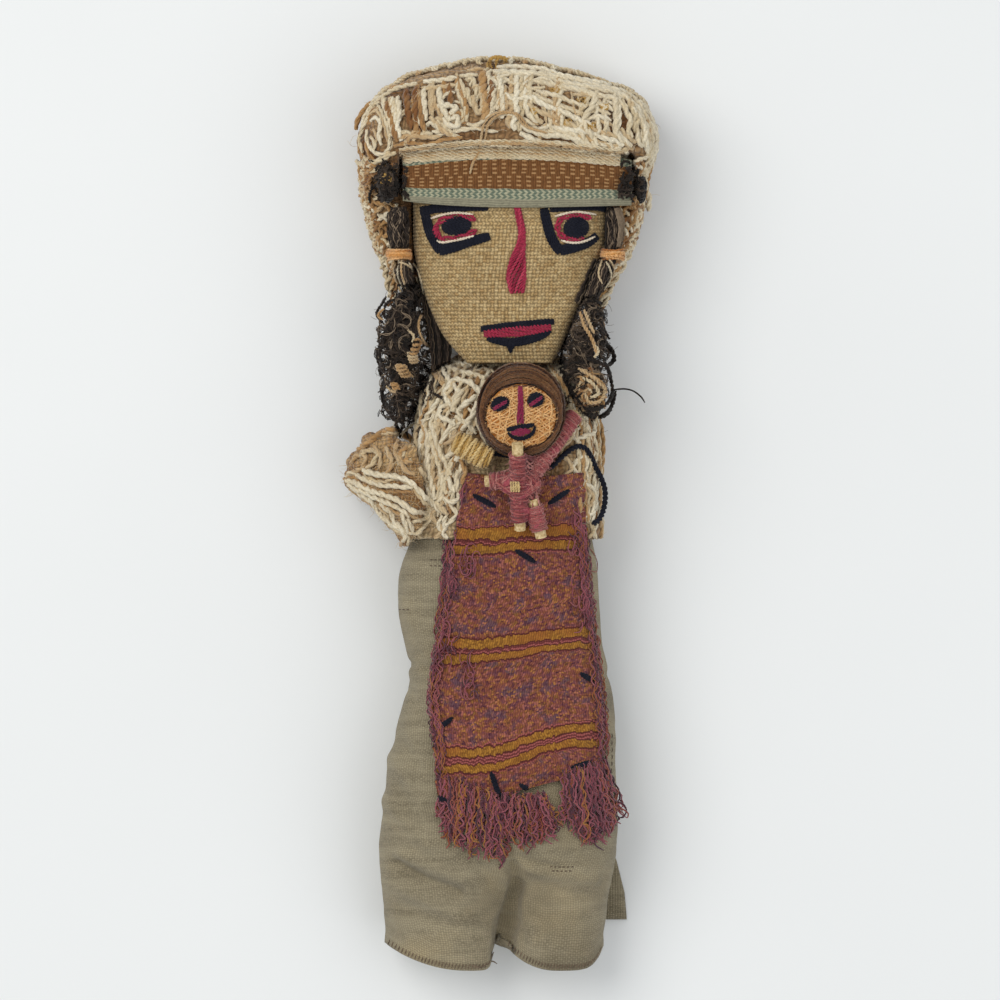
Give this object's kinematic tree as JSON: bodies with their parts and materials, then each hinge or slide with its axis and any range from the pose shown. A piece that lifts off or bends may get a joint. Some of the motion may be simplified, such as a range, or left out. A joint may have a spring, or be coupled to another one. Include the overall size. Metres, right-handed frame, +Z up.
{
  "type": "textile burial figure with infant",
  "caption": "Sewn textile figure with a netted headcloth, woven apron and stuffed skirt, holding a wound-yarn infant; lies on its back.",
  "frame": {"origin": "middle of the figure's outline, on the surface under its back", "axes": "+X to the viewer's right, +Y from the hem to the crown, +Z up out of the face"},
  "size_m": [0.1135, 0.329, 0.0614],
  "materials": {
    "tunic_cloth": "plain-woven taupe cotton, matt",
    "gauze": "looped and netted cream yarn, fuzzy",
    "face_cloth": "coarse tan plain weave",
    "band_weave": "warp-faced striped band",
    "dark_hair": "dark brown fibre locks",
    "orange_thread": "orange-tan thread",
    "dark_yarn": "navy-black plied yarn",
    "red_yarn": "crimson yarn",
    "tan_yarn": "tan yarn winding",
    "brown_thread": "brown thread, wound",
    "infant_face": "orange thread, wound",
    "pink_yarn": "rose-pink yarn winding",
    "reed": "cut reed, bare",
    "tapestry": "rose, purple and gold tapestry weave"
  },
  "bodies": {
    "root": {"tunic": "tunic_cloth", "tunic_back_panel": "tunic_cloth", "shawl": "gauze", "head": "face_cloth", "headband": "band_weave", "headcloth": "gauze", "band_knot_left": "dark_yarn", "band_knot_right": "dark_yarn", "eye_left": "dark_yarn", "eye_right": "dark_yarn", "nose": "red_yarn", "mouth": "dark_yarn", "hair_left": "dark_hair", "hair_left_lower": "dark_hair", "hair_right": "dark_hair", "hair_right_lower": "dark_hair", "hair_tassel_left": "dark_hair", "hair_tassel_right": "dark_hair", "hair_tie_left": "orange_thread", "hair_tie_right": "orange_thread", "sleeve_tassel": "gauze", "forearm": "tan_yarn", "apron": "tapestry", "fringe_left": "tapestry", "fringe_middle": "tapestry", "fringe_right": "tapestry", "apron_stitch_1": "dark_yarn", "apron_stitch_2": "dark_yarn", "apron_stitch_3": "dark_yarn", "apron_stitch_4": "dark_yarn", "apron_stitch_5": "dark_yarn", "apron_stitch_6": "dark_yarn", "apron_stitch_7": "dark_yarn", "apron_stitch_8": "dark_yarn", "apron_stitch_9": "dark_yarn", "apron_stitch_10": "dark_yarn", "crown_tuft": "tan_yarn", "infant_hood": "brown_thread", "infant_face": "infant_face", "infant_body": "pink_yarn", "infant_reed_body": "reed", "infant_reed_arm_left": "reed", "infant_reed_arm_right": "reed", "infant_reed_leg": "reed", "neck_cord": "dark_yarn", "carrying_cord": "dark_yarn"}
  },
  "joints": []
}
